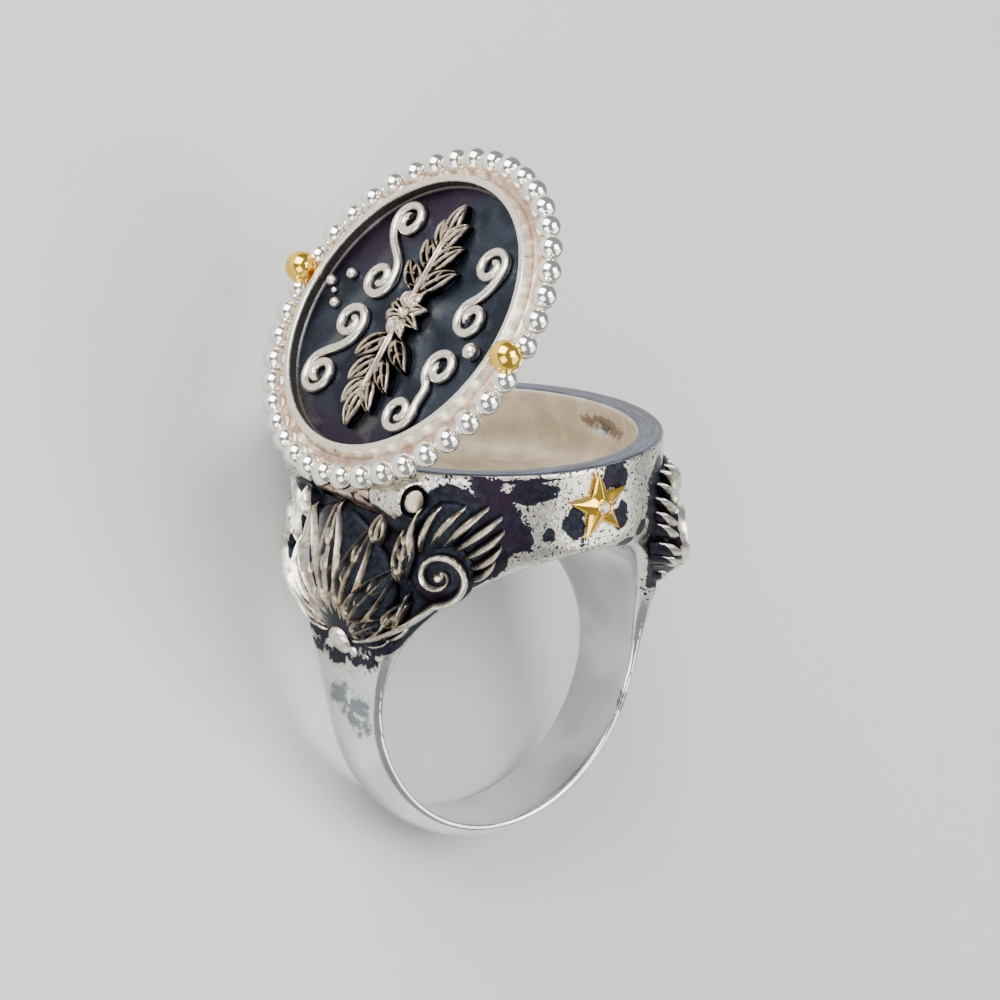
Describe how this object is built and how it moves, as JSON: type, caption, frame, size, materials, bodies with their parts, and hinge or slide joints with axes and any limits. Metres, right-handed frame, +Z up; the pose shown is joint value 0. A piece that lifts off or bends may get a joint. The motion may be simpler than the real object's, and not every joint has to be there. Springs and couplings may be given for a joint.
{
  "type": "silver locket ring with a hinged lid",
  "caption": "Silver finger ring with a flared band, a round box on top, a bead-bordered hinged lid standing open, gold balls and a gold star with a clear stone.",
  "frame": {"origin": "middle of the finger hole", "axes": "the ring lies on its side on a surface below: +Z is up, -Y is roughly the way from the finger hole to the box and lid, and X runs across the ring, with the hinge on the +X side"},
  "size_m": [0.0268, 0.0428, 0.0268],
  "materials": {
    "aged_silver": "cast silver, worn bright on its high places, with blue-black oxide in its recesses",
    "polished_silver": "polished warm silver",
    "gold": "polished yellow gold",
    "clear_stone": "clear faceted stone"
  },
  "bodies": {
    "ring": {"ring_body": "aged_silver", "hinge_pin": "polished_silver", "star": "gold", "star_stone": "clear_stone"},
    "lid": {"lid": "aged_silver", "gold_ball_front": "gold", "gold_ball_back": "gold"}
  },
  "joints": [
    {"name": "lid_hinge", "type": "hinge", "parent": "ring", "child": "lid", "pos_m": [0.01058, -0.0128, 0.00475], "axis": [0.0578, 0.3891, 0.9194], "range_deg": [-53.4, 4.6]}
  ]
}
